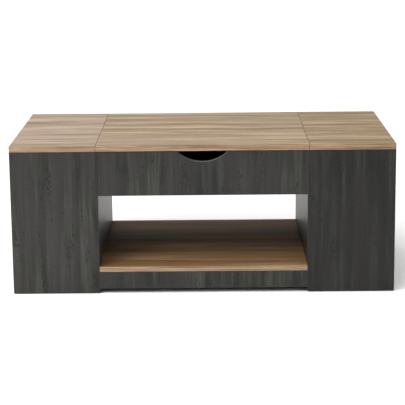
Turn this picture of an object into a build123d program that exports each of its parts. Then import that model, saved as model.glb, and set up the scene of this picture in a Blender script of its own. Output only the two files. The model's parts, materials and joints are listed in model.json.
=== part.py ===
from build123d import *
from math import atan2, cos, degrees, hypot, radians, sin
import os

# A lift top coffee table, in millimetres. The origin is on the floor under the middle of the
# closed table. X runs along its length, the front faces -Y and Z is up.

os.makedirs("parts", exist_ok=True)

# Driving dimensions
WIDTH = 1200
DEPTH = 600
HEIGHT = 475
TOP_THICKNESS = 18
BOARD = 16
OPENING = 654
APRON_HEIGHT = 139
SHELF_TOP = 87
TOE_CLEARANCE = 16

# Round glides under the uprights
GLIDE_THICKNESS = 3
GLIDE_RADIUS = 7.5
GLIDE_INSET = 50

# The middle of the top lifts. It laps over the inner edge of each pedestal, with a narrow seam.
LAP = 5.5
LID_SEAM = 1
APRON_SEAM = 0.8
LID_CLEARANCE = 2
BUMPER_RADIUS = 5
BUMPER_THICKNESS = 1.7
BUMPER_PLACE = 260

# Half-moon finger notch in the front apron's top edge
NOTCH_CHORD = 158
NOTCH_DEPTH = 33

# Knock-down fittings: cam locks with their bolts, and wooden dowels. A cam's slot takes the head
# of its bolt.
CAM_REACH = 34
CAM_RADIUS = 7.4
CAM_DEPTH = 12
CAM_HOLE_RADIUS = 7.5
CAM_HOLE_DEPTH = 12.5
CAM_SLOT_RADIUS = 3.8
SCREWDRIVER_SLOT_LENGTH = 9
SCREWDRIVER_SLOT_WIDTH = 1.6
SCREWDRIVER_SLOT_DEPTH = 2
BOLT_BORE_RADIUS = 3.6
BOLT_COLLAR_RADIUS = 3.4
BOLT_COLLAR = 2
BOLT_HEAD_RADIUS = 3
BOLT_NECK_RADIUS = 2
BOLT_NECK_START = 24
BOLT_HEAD_START = 28
BOLT_END = 32
THREAD_RADIUS = 2.5
THREAD_HOLE_RADIUS = 2.6
THREAD_LENGTH = 10
DOWEL_RADIUS = 4
DOWEL_HOLE_RADIUS = 4.1
DOWEL_IN_PANEL = 10
DOWEL_HOLE_IN_BOARD = 20
DOWEL_IN_BOARD = 19

# Where the fittings stand: across the table's depth, up a panel, and along an apron
CAM_PLACES = (-200, 200)
DOWEL_PLACES = (-100, 100)
PANEL_CAM_HEIGHTS = (110, 400)
PANEL_DOWEL_HEIGHTS = (180, 300)
APRON_CAM_PLACES = (-220, 0, 220)
# A side top covers only part of the inner side's end, so its bolts stand off the middle
TOP_BOLT_SHIFT = 2

# Lift mechanism: a parallelogram of two arms on each side, seen from the side as (y, z).
# An arm's angle is measured up from the forward direction.
FRONT_PIVOT = (-180, 380)
REAR_PIVOT = (-60, 380)
SPRING_ANCHOR = (20, 370)
ARM_LENGTH = 230
ARM_CLOSED = 170
ARM_OPEN = 60
TAIL_LENGTH = 24
BAR_REACH = 60
ARM_RADIUS = 10
PIVOT_RADIUS = 4
RUNNING_FIT = 0.05
LOOSE_FIT = 0.5

# How far each layer of the mechanism lies from the pedestal's inner face
PLATE_LAYER = (0, 2.5)
REAR_ARM_LAYER = (3, 6)
FRONT_ARM_LAYER = (6.5, 9.5)
BRACKET_LAYER = (10, 13)
SPRING_LAYER = 21
PIN_END = 26
BAR_RADIUS = 6
BAR_WALL = 1.5

# Base plate of the mechanism as (low, high) in y and z, and its screws as (y, z)
PLATE_DEPTH = (-224, 48)
PLATE_HEIGHT = (350, 418)
PLATE_CORNER = 8
PLATE_SCREWS = ((-208, 362), (-208, 386), (-120, 402), (-120, 362), (-20, 360), (36, 360))
SCREW_RADIUS = 2
SCREW_HEAD_RADIUS = 4
SCREW_HEAD = 1.8
SCREW_LENGTH = 12
PILOT_RADIUS = 2.1
PILOT_DEPTH = 13

# Pivot pins, the pins that the springs hook on, and the pin that stops the open arm
PIN_HEAD_RADIUS = 7
PIN_SHOULDER_RADIUS = 6
PIN_HEAD = 1.6
FACE_GAP = 0.2
ANCHOR_PIN_RADIUS = 2.5
PIN_CAP = 1.5
PIN_CAP_RADIUS = 4.5
STOP_RADIUS = 3
STOP_REACH = 40
STOP_GAP = 0.3

# Brackets under the lift top: a hanging web with a flange that is screwed to the board
BRACKET_FLANGE = 28
BRACKET_OVERHANG = 22
BRACKET_DROP = 12
BRACKET_CORNER = 8
FLANGE_SCREWS = (-70, -25, 25, 70)

# Extension springs
COIL_RADIUS = 6
WIRE_RADIUS = 0.8
LOOP_RADIUS = 4.2
HOOK_LENGTH = 12

# Sizes worked out from those above
half_width = WIDTH / 2
half_depth = DEPTH / 2
inner_face = OPENING / 2
seam_face = inner_face + LAP
carcass_half_depth = half_depth - BOARD
top_underside = HEIGHT - TOP_THICKNESS
apron_top = top_underside - LID_CLEARANCE
apron_bottom = apron_top - APRON_HEIGHT
floor_middle = apron_bottom + BOARD / 2
shelf_underside = SHELF_TOP - BOARD
shelf_middle = shelf_underside + BOARD / 2
bottom_middle = TOE_CLEARANCE + BOARD / 2
inner_side_middle = inner_face + BOARD / 2
outer_side_middle = half_width - BOARD / 2
SIDES = (("left", -1), ("right", 1))
ENDS = (("front", -1), ("back", 1))


def ordered(sign, near, far):
    """The two distances on one side of the middle, lowest first."""
    return tuple(sorted((sign * near, sign * far)))


def slab(x, y, z):
    """Adds a board between a (low, high) pair on each axis."""
    with BuildSketch(Plane.XY.offset(z[0])) as outline:
        with Locations(((x[0] + x[1]) / 2, (y[0] + y[1]) / 2)):
            Rectangle(x[1] - x[0], y[1] - y[0])
    extrude(outline.sketch, amount=z[1] - z[0])


def rod(plane, radius, start, end, mode=Mode.ADD):
    """Adds or cuts a round bar along the plane's normal."""
    with BuildSketch(plane.offset(start)) as outline:
        Circle(radius)
    extrude(outline.sketch, amount=end - start, mode=mode)


def layer_plane(sign, layer):
    """The side-on plane that a mechanism piece is extruded from, towards the middle."""
    face = sign * (inner_face - layer)
    return Plane(origin=(face, 0, 0), x_dir=(0, 1, 0), z_dir=(sign * -1, 0, 0))


def side_points(sign, points):
    """Turns (y, z) places into the coordinates of a side-on plane."""
    return [(y, z * -sign) for y, z in points]


def pin_plane(sign, point, layer=0):
    """A plane at a (y, z) place, with its normal towards the middle of the table."""
    origin = (sign * (inner_face - layer), point[0], point[1])
    return Plane(origin=origin, x_dir=(0, 1, 0), z_dir=(sign * -1, 0, 0))


def along_arm(pivot, reach, angle):
    """The place at a distance along an arm from its pivot."""
    across = pivot[0] - reach * cos(radians(angle))
    return (across, pivot[1] + reach * sin(radians(angle)))


# Board joints. Each is a plane on the face where two boards meet: its Z axis runs into the board
# that holds the cam, and its X axis points at the side where the cam's mouth is.


def end_joints(x, sign, z, places):
    """Joints where a level board's end meets an upright, with the mouths underneath."""
    return [Plane(origin=(x, y, z), x_dir=(0, 0, -1), z_dir=(sign, 0, 0)) for y in places]


def top_joints(x, sign, places):
    """Joints down from a side top into an upright."""
    return [
        Plane(origin=(x, y, top_underside), x_dir=(sign, 0, 0), z_dir=(0, 0, -1)) for y in places
    ]


def face_joints(x, y_sign, sign, places):
    """Joints from a front or back panel into the edge of an upright."""
    y = y_sign * carcass_half_depth
    return [Plane(origin=(x, y, z), x_dir=(sign, 0, 0), z_dir=(0, -y_sign, 0)) for z in places]


def apron_joints(y_sign, places):
    """Joints from an apron into the edge of the compartment floor."""
    y = y_sign * carcass_half_depth
    return [
        Plane(origin=(x, y, floor_middle), x_dir=(0, 0, -1), z_dir=(0, -y_sign, 0)) for x in places
    ]


def toe_joints(y_sign, places):
    """Joints down from the lower shelf into a toe board."""
    y = y_sign * (half_depth - BOARD / 2)
    return [
        Plane(origin=(x, y, shelf_underside), x_dir=(0, -y_sign, 0), z_dir=(0, 0, -1))
        for x in places
    ]


def all_joints(places, heights, apron_places, toe_places):
    """Every joint of one kind in the table, in groups named for the two boards they join."""
    found = {}
    for side, s in SIDES:
        inner = f"{side}_inner"
        outer = f"{side}_outer"
        found["floor", inner] = end_joints(s * inner_face, -s, floor_middle, places)
        found["shelf", inner] = end_joints(s * inner_face, -s, shelf_middle, places)
        found[f"{side}_bottom", inner] = end_joints(
            s * (inner_face + BOARD), s, bottom_middle, places
        )
        found[f"{side}_bottom", outer] = end_joints(
            s * (half_width - BOARD), -s, bottom_middle, places
        )
        found[inner, f"{side}_top"] = top_joints(
            s * (inner_side_middle + TOP_BOLT_SHIFT), s, places
        )
        found[outer, f"{side}_top"] = top_joints(s * outer_side_middle, -s, places)
        for end, e in ENDS:
            found[inner, f"{side}_{end}"] = face_joints(s * inner_side_middle, e, s, heights)
            found[outer, f"{side}_{end}"] = face_joints(s * outer_side_middle, e, -s, heights)
    for end, e in ENDS:
        found["floor", f"{end}_apron"] = apron_joints(e, apron_places)
        found[f"{end}_toe", "shelf"] = toe_joints(e, toe_places)
    return found


cam_joints = all_joints(CAM_PLACES, PANEL_CAM_HEIGHTS, APRON_CAM_PLACES, CAM_PLACES)
dowel_joints = all_joints(DOWEL_PLACES, PANEL_DOWEL_HEIGHTS, DOWEL_PLACES, (0,))
for side, _ in SIDES:
    # there is no room for a dowel under the narrow lap of a side top
    del dowel_joints[f"{side}_inner", f"{side}_top"]


def cam_mouth(cam_board, bolt_board):
    """How far a cam's open face lies from the axis of its bolt."""
    shifted = cam_board.endswith("_inner") and bolt_board.endswith("_top")
    return BOARD / 2 - TOP_BOLT_SHIFT if shifted else BOARD / 2


def cam_seat(joint):
    """The plane of a cam lock: its normal comes out of the cam's mouth."""
    origin = joint.origin + joint.z_dir * CAM_REACH
    return Plane(origin=origin, x_dir=joint.z_dir, z_dir=joint.x_dir)


def drill_for_fittings(board):
    """Cuts every hole that a board needs for its cams, bolts and dowels."""
    for (cam_board, bolt_board), joints in cam_joints.items():
        for joint in joints:
            if board == cam_board:
                mouth = cam_mouth(cam_board, bolt_board)
                rod(joint, BOLT_BORE_RADIUS, 0, CAM_REACH, Mode.SUBTRACT)
                rod(cam_seat(joint), CAM_HOLE_RADIUS, mouth - CAM_HOLE_DEPTH, mouth, Mode.SUBTRACT)
            if board == bolt_board:
                rod(joint, THREAD_HOLE_RADIUS, -THREAD_LENGTH, 0, Mode.SUBTRACT)
    for (cam_board, bolt_board), joints in dowel_joints.items():
        for joint in joints:
            if board == cam_board:
                rod(joint, DOWEL_HOLE_RADIUS, 0, DOWEL_HOLE_IN_BOARD, Mode.SUBTRACT)
            if board == bolt_board:
                rod(joint, DOWEL_HOLE_RADIUS, -DOWEL_IN_PANEL, 0, Mode.SUBTRACT)


# Pedestals: a closed box of panels on each side of the opening
for side, s in SIDES:
    with BuildPart() as inner_side:
        upright = (GLIDE_THICKNESS, top_underside)
        slab(
            ordered(s, inner_face, inner_face + BOARD),
            (-carcass_half_depth, carcass_half_depth),
            upright,
        )
        # a step along the top corner clears the edge of the lift top
        with BuildSketch(Plane.XY.offset(apron_top)):
            with Locations((s * (inner_face + LAP / 2), 0)):
                Rectangle(LAP, DEPTH)
        extrude(amount=LID_CLEARANCE, mode=Mode.SUBTRACT)
        for place in PLATE_SCREWS:
            rod(pin_plane(s, place), PILOT_RADIUS, -PILOT_DEPTH, 0, Mode.SUBTRACT)
        drill_for_fittings(f"{side}_inner")
    inner_side.part.label = f"{side}_inner_side"
    export_step(inner_side.part, f"parts/{side}_inner_side.step")

    with BuildPart() as outer_side:
        slab(
            ordered(s, half_width - BOARD, half_width),
            (-carcass_half_depth, carcass_half_depth),
            upright,
        )
        drill_for_fittings(f"{side}_outer")
    outer_side.part.label = f"{side}_outer_side"
    export_step(outer_side.part, f"parts/{side}_outer_side.step")

    for end, e in ENDS:
        with BuildPart() as panel:
            slab(
                ordered(s, inner_face, half_width),
                ordered(e, carcass_half_depth, half_depth),
                upright,
            )
            # the apron's end is let into the top inner corner
            with BuildSketch(Plane.XY.offset(apron_bottom)):
                with Locations((s * (inner_face + LAP / 2), e * half_depth)):
                    Rectangle(LAP, 2 * BOARD)
            extrude(amount=HEIGHT, mode=Mode.SUBTRACT)
            drill_for_fittings(f"{side}_{end}")
        panel.part.label = f"{side}_{end}_panel"
        export_step(panel.part, f"parts/{side}_{end}_panel.step")

    with BuildPart() as pedestal_bottom:
        slab(
            ordered(s, inner_face + BOARD, half_width - BOARD),
            (-carcass_half_depth, carcass_half_depth),
            (TOE_CLEARANCE, TOE_CLEARANCE + BOARD),
        )
        drill_for_fittings(f"{side}_bottom")
    pedestal_bottom.part.label = f"{side}_pedestal_bottom"
    export_step(pedestal_bottom.part, f"parts/{side}_pedestal_bottom.step")

    with BuildPart() as side_top:
        slab(
            ordered(s, seam_face, half_width), (-half_depth, half_depth), (top_underside, HEIGHT)
        )
        drill_for_fittings(f"{side}_top")
    side_top.part.label = f"{side}_side_top"
    export_step(side_top.part, f"parts/{side}_side_top.step")

# Boards between the pedestals
for end, e in ENDS:
    with BuildPart() as apron:
        apron_half_width = seam_face - APRON_SEAM
        slab(
            (-apron_half_width, apron_half_width),
            ordered(e, carcass_half_depth, half_depth),
            (apron_bottom, apron_top),
        )
        if end == "front":
            notch_radius = ((NOTCH_CHORD / 2) ** 2 + NOTCH_DEPTH**2) / (2 * NOTCH_DEPTH)
            notch_centre = apron_top - NOTCH_DEPTH + notch_radius
            notch_axis = Plane(origin=(0, -half_depth, notch_centre), z_dir=(0, 1, 0))
            rod(notch_axis, notch_radius, 0, BOARD, Mode.SUBTRACT)
        drill_for_fittings(f"{end}_apron")
    apron.part.label = f"{end}_apron"
    export_step(apron.part, f"parts/{end}_apron.step")

    with BuildPart() as toe_board:
        slab(
            (-inner_face, inner_face),
            ordered(e, carcass_half_depth, half_depth),
            (TOE_CLEARANCE, shelf_underside),
        )
        drill_for_fittings(f"{end}_toe")
    toe_board.part.label = f"{end}_toe_board"
    export_step(toe_board.part, f"parts/{end}_toe_board.step")

with BuildPart() as compartment_floor:
    slab(
        (-inner_face, inner_face),
        (-carcass_half_depth, carcass_half_depth),
        (apron_bottom, apron_bottom + BOARD),
    )
    drill_for_fittings("floor")
compartment_floor.part.label = "compartment_floor"
export_step(compartment_floor.part, "parts/compartment_floor.step")

with BuildPart() as lower_shelf:
    slab((-inner_face, inner_face), (-half_depth, half_depth), (shelf_underside, SHELF_TOP))
    drill_for_fittings("shelf")
lower_shelf.part.label = "lower_shelf"
export_step(lower_shelf.part, "parts/lower_shelf.step")

# Fittings in the boards
with BuildPart() as cam_locks:
    for (cam_board, bolt_board), joints in cam_joints.items():
        closed_end = cam_mouth(cam_board, bolt_board) - CAM_HOLE_DEPTH
        for joint in joints:
            seat = cam_seat(joint)
            rod(seat, CAM_RADIUS, closed_end, closed_end + CAM_DEPTH)
            rod(joint, CAM_SLOT_RADIUS, CAM_REACH - CAM_HOLE_RADIUS, CAM_REACH, Mode.SUBTRACT)
            with BuildSketch(seat.offset(closed_end + CAM_DEPTH)):
                Rectangle(SCREWDRIVER_SLOT_LENGTH, SCREWDRIVER_SLOT_WIDTH)
                Rectangle(SCREWDRIVER_SLOT_WIDTH, SCREWDRIVER_SLOT_LENGTH)
            extrude(amount=-SCREWDRIVER_SLOT_DEPTH, mode=Mode.SUBTRACT)
cam_locks.part.label = "cam_locks"
export_step(cam_locks.part, "parts/cam_locks.step")

with BuildPart() as cam_bolts:
    for joint in [j for joints in cam_joints.values() for j in joints]:
        rod(joint, THREAD_RADIUS, -THREAD_LENGTH, 0)
        rod(joint, BOLT_COLLAR_RADIUS, 0, BOLT_COLLAR)
        rod(joint, BOLT_HEAD_RADIUS, BOLT_COLLAR, BOLT_NECK_START)
        rod(joint, BOLT_NECK_RADIUS, BOLT_NECK_START, BOLT_HEAD_START)
        rod(joint, BOLT_HEAD_RADIUS, BOLT_HEAD_START, BOLT_END)
cam_bolts.part.label = "cam_bolts"
export_step(cam_bolts.part, "parts/cam_bolts.step")

with BuildPart() as dowels:
    for joint in [j for joints in dowel_joints.values() for j in joints]:
        rod(joint, DOWEL_RADIUS, -DOWEL_IN_PANEL, DOWEL_IN_BOARD)
dowels.part.label = "dowels"
export_step(dowels.part, "parts/dowels.step")

# Feet under the uprights, and soft stops that the lift top closes on
with BuildPart() as foot_glides:
    with BuildSketch(Plane.XY):
        for x in (inner_side_middle, outer_side_middle):
            with GridLocations(2 * x, 2 * (half_depth - GLIDE_INSET), 2, 2):
                Circle(GLIDE_RADIUS)
    extrude(amount=GLIDE_THICKNESS)
foot_glides.part.label = "foot_glides"
export_step(foot_glides.part, "parts/foot_glides.step")

with BuildPart() as lid_bumpers:
    with BuildSketch(Plane.XY.offset(apron_top)):
        with GridLocations(2 * BUMPER_PLACE, 2 * (half_depth - BOARD / 2), 2, 2):
            Circle(BUMPER_RADIUS)
    extrude(amount=BUMPER_THICKNESS)
lid_bumpers.part.label = "lid_bumpers"
export_step(lid_bumpers.part, "parts/lid_bumpers.step")

# Lift mechanism, closed
front_tip = along_arm(FRONT_PIVOT, ARM_LENGTH, ARM_CLOSED)
rear_tip = along_arm(REAR_PIVOT, ARM_LENGTH, ARM_CLOSED)
tail = along_arm(FRONT_PIVOT, -TAIL_LENGTH, ARM_CLOSED)
tail_open = along_arm(FRONT_PIVOT, -TAIL_LENGTH, ARM_OPEN)
bar_place = along_arm(FRONT_PIVOT, BAR_REACH, ARM_CLOSED)
stop_offset = ARM_RADIUS + STOP_RADIUS + STOP_GAP
stop_angle = ARM_OPEN - degrees(atan2(stop_offset, STOP_REACH))
stop_place = along_arm(FRONT_PIVOT, hypot(STOP_REACH, stop_offset), stop_angle)


def arm(sign, layer, points, holes):
    """Adds a flat arm with round ends, and drills its (place, radius) holes."""
    with BuildSketch(layer_plane(sign, layer[0])) as outline:
        for point in side_points(sign, points):
            with Locations(point):
                Circle(ARM_RADIUS)
        make_hull()
        for place, radius in holes:
            with Locations(*side_points(sign, [place])):
                Circle(radius, mode=Mode.SUBTRACT)
    extrude(outline.sketch, amount=layer[1] - layer[0])


for side, s in SIDES:
    with BuildPart() as base_plate:
        y_low, y_high = PLATE_DEPTH
        z_low, z_high = PLATE_HEIGHT
        with BuildSketch(layer_plane(s, PLATE_LAYER[0])):
            with Locations(*side_points(s, [((y_low + y_high) / 2, (z_low + z_high) / 2)])):
                RectangleRounded(y_high - y_low, z_high - z_low, PLATE_CORNER)
            with Locations(*side_points(s, PLATE_SCREWS)):
                Circle(PILOT_RADIUS, mode=Mode.SUBTRACT)
            with Locations(*side_points(s, [FRONT_PIVOT, REAR_PIVOT])):
                Circle(PIVOT_RADIUS, mode=Mode.SUBTRACT)
            with Locations(*side_points(s, [SPRING_ANCHOR])):
                Circle(ANCHOR_PIN_RADIUS, mode=Mode.SUBTRACT)
            with Locations(*side_points(s, [stop_place])):
                Circle(STOP_RADIUS, mode=Mode.SUBTRACT)
        extrude(amount=PLATE_LAYER[1])
    base_plate.part.label = f"{side}_base_plate"
    export_step(base_plate.part, f"parts/{side}_base_plate.step")

    hole = PIVOT_RADIUS + RUNNING_FIT
    with BuildPart() as front_arm:
        front_holes = [(FRONT_PIVOT, hole), (front_tip, hole), (tail, ANCHOR_PIN_RADIUS)]
        arm(s, FRONT_ARM_LAYER, [tail, front_tip], front_holes)
    front_arm.part.label = f"{side}_front_arm"
    export_step(front_arm.part, f"parts/{side}_front_arm.step")

    with BuildPart() as rear_arm:
        rear_holes = [(REAR_PIVOT, hole), (rear_tip, PIVOT_RADIUS + LOOSE_FIT)]
        arm(s, REAR_ARM_LAYER, [REAR_PIVOT, rear_tip], rear_holes)
    rear_arm.part.label = f"{side}_rear_arm"
    export_step(rear_arm.part, f"parts/{side}_rear_arm.step")

with BuildPart() as cross_bar:
    bar_half = inner_face - FRONT_ARM_LAYER[1]
    bar_axis = Plane(origin=(-bar_half, bar_place[0], bar_place[1]), z_dir=(1, 0, 0))
    rod(bar_axis, BAR_RADIUS, 0, 2 * bar_half)
    rod(bar_axis, BAR_RADIUS - BAR_WALL, 0, 2 * bar_half, Mode.SUBTRACT)
cross_bar.part.label = "cross_bar"
export_step(cross_bar.part, "parts/cross_bar.step")

# Pivot pins: riveted in the plate or bracket, with a shoulder and a head that hold the arm
with BuildPart() as base_pivot_pins:
    for _, s in SIDES:
        front_pin = pin_plane(s, FRONT_PIVOT)
        head_start = FRONT_ARM_LAYER[1] + FACE_GAP
        rod(front_pin, PIVOT_RADIUS, PLATE_LAYER[0], head_start)
        rod(front_pin, PIN_SHOULDER_RADIUS, PLATE_LAYER[1], FRONT_ARM_LAYER[0] - FACE_GAP)
        rod(front_pin, PIN_HEAD_RADIUS, head_start, head_start + PIN_HEAD)
        rear_pin = pin_plane(s, REAR_PIVOT)
        head_start = REAR_ARM_LAYER[1] + FACE_GAP
        rod(rear_pin, PIVOT_RADIUS, PLATE_LAYER[0], head_start)
        rod(rear_pin, PIN_HEAD_RADIUS, head_start, head_start + PIN_HEAD)
base_pivot_pins.part.label = "base_pivot_pins"
export_step(base_pivot_pins.part, "parts/base_pivot_pins.step")

with BuildPart() as upper_pivot_pins:
    for _, s in SIDES:
        front_pin = pin_plane(s, front_tip)
        head_end = FRONT_ARM_LAYER[0] - FACE_GAP
        rod(front_pin, PIN_HEAD_RADIUS, head_end - PIN_HEAD, head_end)
        rod(front_pin, PIVOT_RADIUS, head_end, BRACKET_LAYER[1])
        rear_pin = pin_plane(s, rear_tip)
        head_end = REAR_ARM_LAYER[0] - FACE_GAP
        rod(rear_pin, PIN_HEAD_RADIUS, head_end - PIN_HEAD, head_end)
        rod(rear_pin, PIVOT_RADIUS, head_end, BRACKET_LAYER[1])
        rod(rear_pin, PIN_SHOULDER_RADIUS, REAR_ARM_LAYER[1] + FACE_GAP, BRACKET_LAYER[0])
upper_pivot_pins.part.label = "upper_pivot_pins"
export_step(upper_pivot_pins.part, "parts/upper_pivot_pins.step")

with BuildPart() as spring_anchor_pins:
    for _, s in SIDES:
        rod(pin_plane(s, SPRING_ANCHOR), ANCHOR_PIN_RADIUS, PLATE_LAYER[0], PIN_END)
        rod(pin_plane(s, SPRING_ANCHOR), PIN_CAP_RADIUS, PIN_END, PIN_END + PIN_CAP)
spring_anchor_pins.part.label = "spring_anchor_pins"
export_step(spring_anchor_pins.part, "parts/spring_anchor_pins.step")

with BuildPart() as arm_tail_pins:
    for _, s in SIDES:
        rod(pin_plane(s, tail), ANCHOR_PIN_RADIUS, FRONT_ARM_LAYER[0], PIN_END)
        rod(pin_plane(s, tail), PIN_CAP_RADIUS, PIN_END, PIN_END + PIN_CAP)
arm_tail_pins.part.label = "arm_tail_pins"
export_step(arm_tail_pins.part, "parts/arm_tail_pins.step")

with BuildPart() as stop_pins:
    for _, s in SIDES:
        rod(pin_plane(s, stop_place), STOP_RADIUS, PLATE_LAYER[0], FRONT_ARM_LAYER[1])
stop_pins.part.label = "stop_pins"
export_step(stop_pins.part, "parts/stop_pins.step")

with BuildPart() as base_plate_screws:
    for _, s in SIDES:
        for place in PLATE_SCREWS:
            head = pin_plane(s, place, PLATE_LAYER[1])
            rod(head, SCREW_RADIUS, -SCREW_LENGTH - PLATE_LAYER[1], 0)
            rod(head, SCREW_HEAD_RADIUS, 0, SCREW_HEAD)
base_plate_screws.part.label = "base_plate_screws"
export_step(base_plate_screws.part, "parts/base_plate_screws.step")

# Lift top with a bracket on each side that hangs from its underside
bracket_thickness = BRACKET_LAYER[1] - BRACKET_LAYER[0]
bracket_y = (front_tip[0] - BRACKET_OVERHANG, rear_tip[0] + BRACKET_OVERHANG)
bracket_length = bracket_y[1] - bracket_y[0]
bracket_middle = (bracket_y[0] + bracket_y[1]) / 2
web_bottom = front_tip[1] - BRACKET_DROP
flange_underside = top_underside - bracket_thickness
flange_screw_x = inner_face - BRACKET_LAYER[0] - BRACKET_FLANGE / 2 - bracket_thickness
flange_screws = [(s * flange_screw_x, bracket_middle + y) for _, s in SIDES for y in FLANGE_SCREWS]

with BuildPart() as lift_top_board:
    lid_half_width = seam_face - LID_SEAM
    slab((-lid_half_width, lid_half_width), (-half_depth, half_depth), (top_underside, HEIGHT))
    with BuildSketch(Plane.XY.offset(top_underside)):
        with Locations(*flange_screws):
            Circle(PILOT_RADIUS)
    extrude(amount=PILOT_DEPTH, mode=Mode.SUBTRACT)
lift_top_board.part.label = "lift_top_board"
export_step(lift_top_board.part, "parts/lift_top_board.step")

for side, s in SIDES:
    with BuildPart() as top_bracket:
        with BuildSketch(layer_plane(s, BRACKET_LAYER[0])):
            web = (bracket_middle, (web_bottom + top_underside) / 2)
            with Locations(*side_points(s, [web])):
                Rectangle(bracket_length, top_underside - web_bottom)
            with Locations(*side_points(s, [front_tip, rear_tip])):
                Circle(PIVOT_RADIUS, mode=Mode.SUBTRACT)
        extrude(amount=bracket_thickness)
        lower_corners = top_bracket.edges().filter_by(Axis.X).group_by(Axis.Z)[0]
        fillet(lower_corners, BRACKET_CORNER)
        outer_face = inner_face - BRACKET_LAYER[0]
        slab(
            ordered(s, outer_face - BRACKET_FLANGE, outer_face),
            bracket_y,
            (flange_underside, top_underside),
        )
        with BuildSketch(Plane.XY.offset(flange_underside)):
            with Locations(*[place for place in flange_screws if place[0] * s > 0]):
                Circle(PILOT_RADIUS)
        extrude(amount=bracket_thickness, mode=Mode.SUBTRACT)
    top_bracket.part.label = f"{side}_top_bracket"
    export_step(top_bracket.part, f"parts/{side}_top_bracket.step")

with BuildPart() as bracket_screws:
    with BuildSketch(Plane.XY.offset(flange_underside)):
        with Locations(*flange_screws):
            Circle(SCREW_RADIUS)
    extrude(amount=SCREW_LENGTH + bracket_thickness)
    with BuildSketch(Plane.XY.offset(flange_underside)):
        with Locations(*flange_screws):
            Circle(SCREW_HEAD_RADIUS)
    extrude(amount=-SCREW_HEAD)
bracket_screws.part.label = "bracket_screws"
export_step(bracket_screws.part, "parts/bracket_screws.step")

# Extension springs: each pulls the front arm's tail back towards its anchor. The coil is given
# as a closed round bar of its outer size, with a loop of wire at each end.
spring_closed = hypot(SPRING_ANCHOR[0] - tail[0], tail[1] - SPRING_ANCHOR[1])
spring_open = hypot(SPRING_ANCHOR[0] - tail_open[0], tail_open[1] - SPRING_ANCHOR[1])

for side, s in SIDES:
    spring_x = s * (inner_face - SPRING_LAYER)
    ends = [Vector(spring_x, *SPRING_ANCHOR), Vector(spring_x, *tail)]
    pull = (ends[1] - ends[0]).normalized()
    with BuildPart() as spring:
        rod(Plane(origin=ends[0], z_dir=pull), COIL_RADIUS, HOOK_LENGTH, spring_closed - HOOK_LENGTH)
        for place, outward in ((ends[0], pull), (ends[1], -pull)):
            loop_start = place + outward * LOOP_RADIUS
            rod(Plane(origin=loop_start, z_dir=outward), WIRE_RADIUS, 0, HOOK_LENGTH - LOOP_RADIUS)
            across_loop = Plane(origin=loop_start, z_dir=Vector(1, 0, 0).cross(outward))
            with BuildSketch(across_loop):
                Circle(WIRE_RADIUS)
            revolve(axis=Axis(place, (1, 0, 0)))
    spring.part.label = f"{side}_spring"
    export_step(spring.part, f"parts/{side}_spring.step")

# Lengths and angles that the joints use
closed_slope = atan2(tail[1] - SPRING_ANCHOR[1], SPRING_ANCHOR[0] - tail[0])
open_slope = atan2(tail_open[1] - SPRING_ANCHOR[1], SPRING_ANCHOR[0] - tail_open[0])
swing = degrees(closed_slope - open_slope)
print("front arm tip", front_tip, "rear arm tip", rear_tip)
print("spring closed", spring_closed, "open", spring_open, "swing", swing)
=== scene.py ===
import bmesh
import bpy
import json
from math import asin, atan2, pi, radians, tau
from mathutils import Matrix, Vector


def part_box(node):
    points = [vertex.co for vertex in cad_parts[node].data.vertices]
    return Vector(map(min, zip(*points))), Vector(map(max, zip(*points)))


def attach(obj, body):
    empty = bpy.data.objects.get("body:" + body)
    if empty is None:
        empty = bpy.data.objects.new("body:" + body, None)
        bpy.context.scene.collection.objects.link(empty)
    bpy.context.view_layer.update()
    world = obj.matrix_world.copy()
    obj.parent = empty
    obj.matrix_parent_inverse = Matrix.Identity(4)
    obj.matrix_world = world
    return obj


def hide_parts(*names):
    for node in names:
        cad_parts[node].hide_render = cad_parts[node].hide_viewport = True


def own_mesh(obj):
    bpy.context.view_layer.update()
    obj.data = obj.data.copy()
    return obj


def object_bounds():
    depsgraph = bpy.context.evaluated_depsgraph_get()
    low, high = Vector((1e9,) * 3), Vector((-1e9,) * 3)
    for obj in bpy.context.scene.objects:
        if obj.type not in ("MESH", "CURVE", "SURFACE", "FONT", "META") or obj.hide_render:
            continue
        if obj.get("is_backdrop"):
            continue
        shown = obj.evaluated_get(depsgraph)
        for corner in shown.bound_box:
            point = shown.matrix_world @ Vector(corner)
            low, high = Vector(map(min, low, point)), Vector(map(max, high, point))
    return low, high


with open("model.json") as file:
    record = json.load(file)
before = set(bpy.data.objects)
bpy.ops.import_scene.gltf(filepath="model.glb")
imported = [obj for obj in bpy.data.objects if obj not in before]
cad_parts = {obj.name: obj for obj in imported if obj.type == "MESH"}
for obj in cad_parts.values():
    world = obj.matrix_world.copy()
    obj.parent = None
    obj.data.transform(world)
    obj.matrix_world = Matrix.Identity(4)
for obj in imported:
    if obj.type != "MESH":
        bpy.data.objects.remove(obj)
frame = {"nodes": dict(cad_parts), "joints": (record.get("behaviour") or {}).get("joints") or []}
cad_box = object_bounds()

# The view. A low view from the front, a little above the top, with a long lens. The small lens
# shift keeps the pedestals' upright edges close to parallel.
VIEW_FROM = (0.0241, -4.4570, 1.2808)
VIEW_DOWN, VIEW_LEFT, VIEW_ROLL = 11.337, 0.329, -0.577
LENS_MM, SENSOR_MM, LENS_SHIFT = 121.77, 36, -0.12
VIEW_REACH = 100

camera = bpy.data.objects.new("camera", bpy.data.cameras.new("camera"))
bpy.context.scene.collection.objects.link(camera)
turn = Matrix.Rotation(radians(VIEW_LEFT), 4, "Z")
turn = turn @ Matrix.Rotation(radians(90 - VIEW_DOWN), 4, "X")
turn = turn @ Matrix.Rotation(radians(VIEW_ROLL), 4, "Z")
camera.matrix_world = Matrix.Translation(VIEW_FROM) @ turn
camera.data.sensor_width = SENSOR_MM
camera.data.lens = LENS_MM
camera.data.shift_y = LENS_SHIFT
camera.data.clip_end = VIEW_REACH
bpy.context.scene.camera = camera


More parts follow.
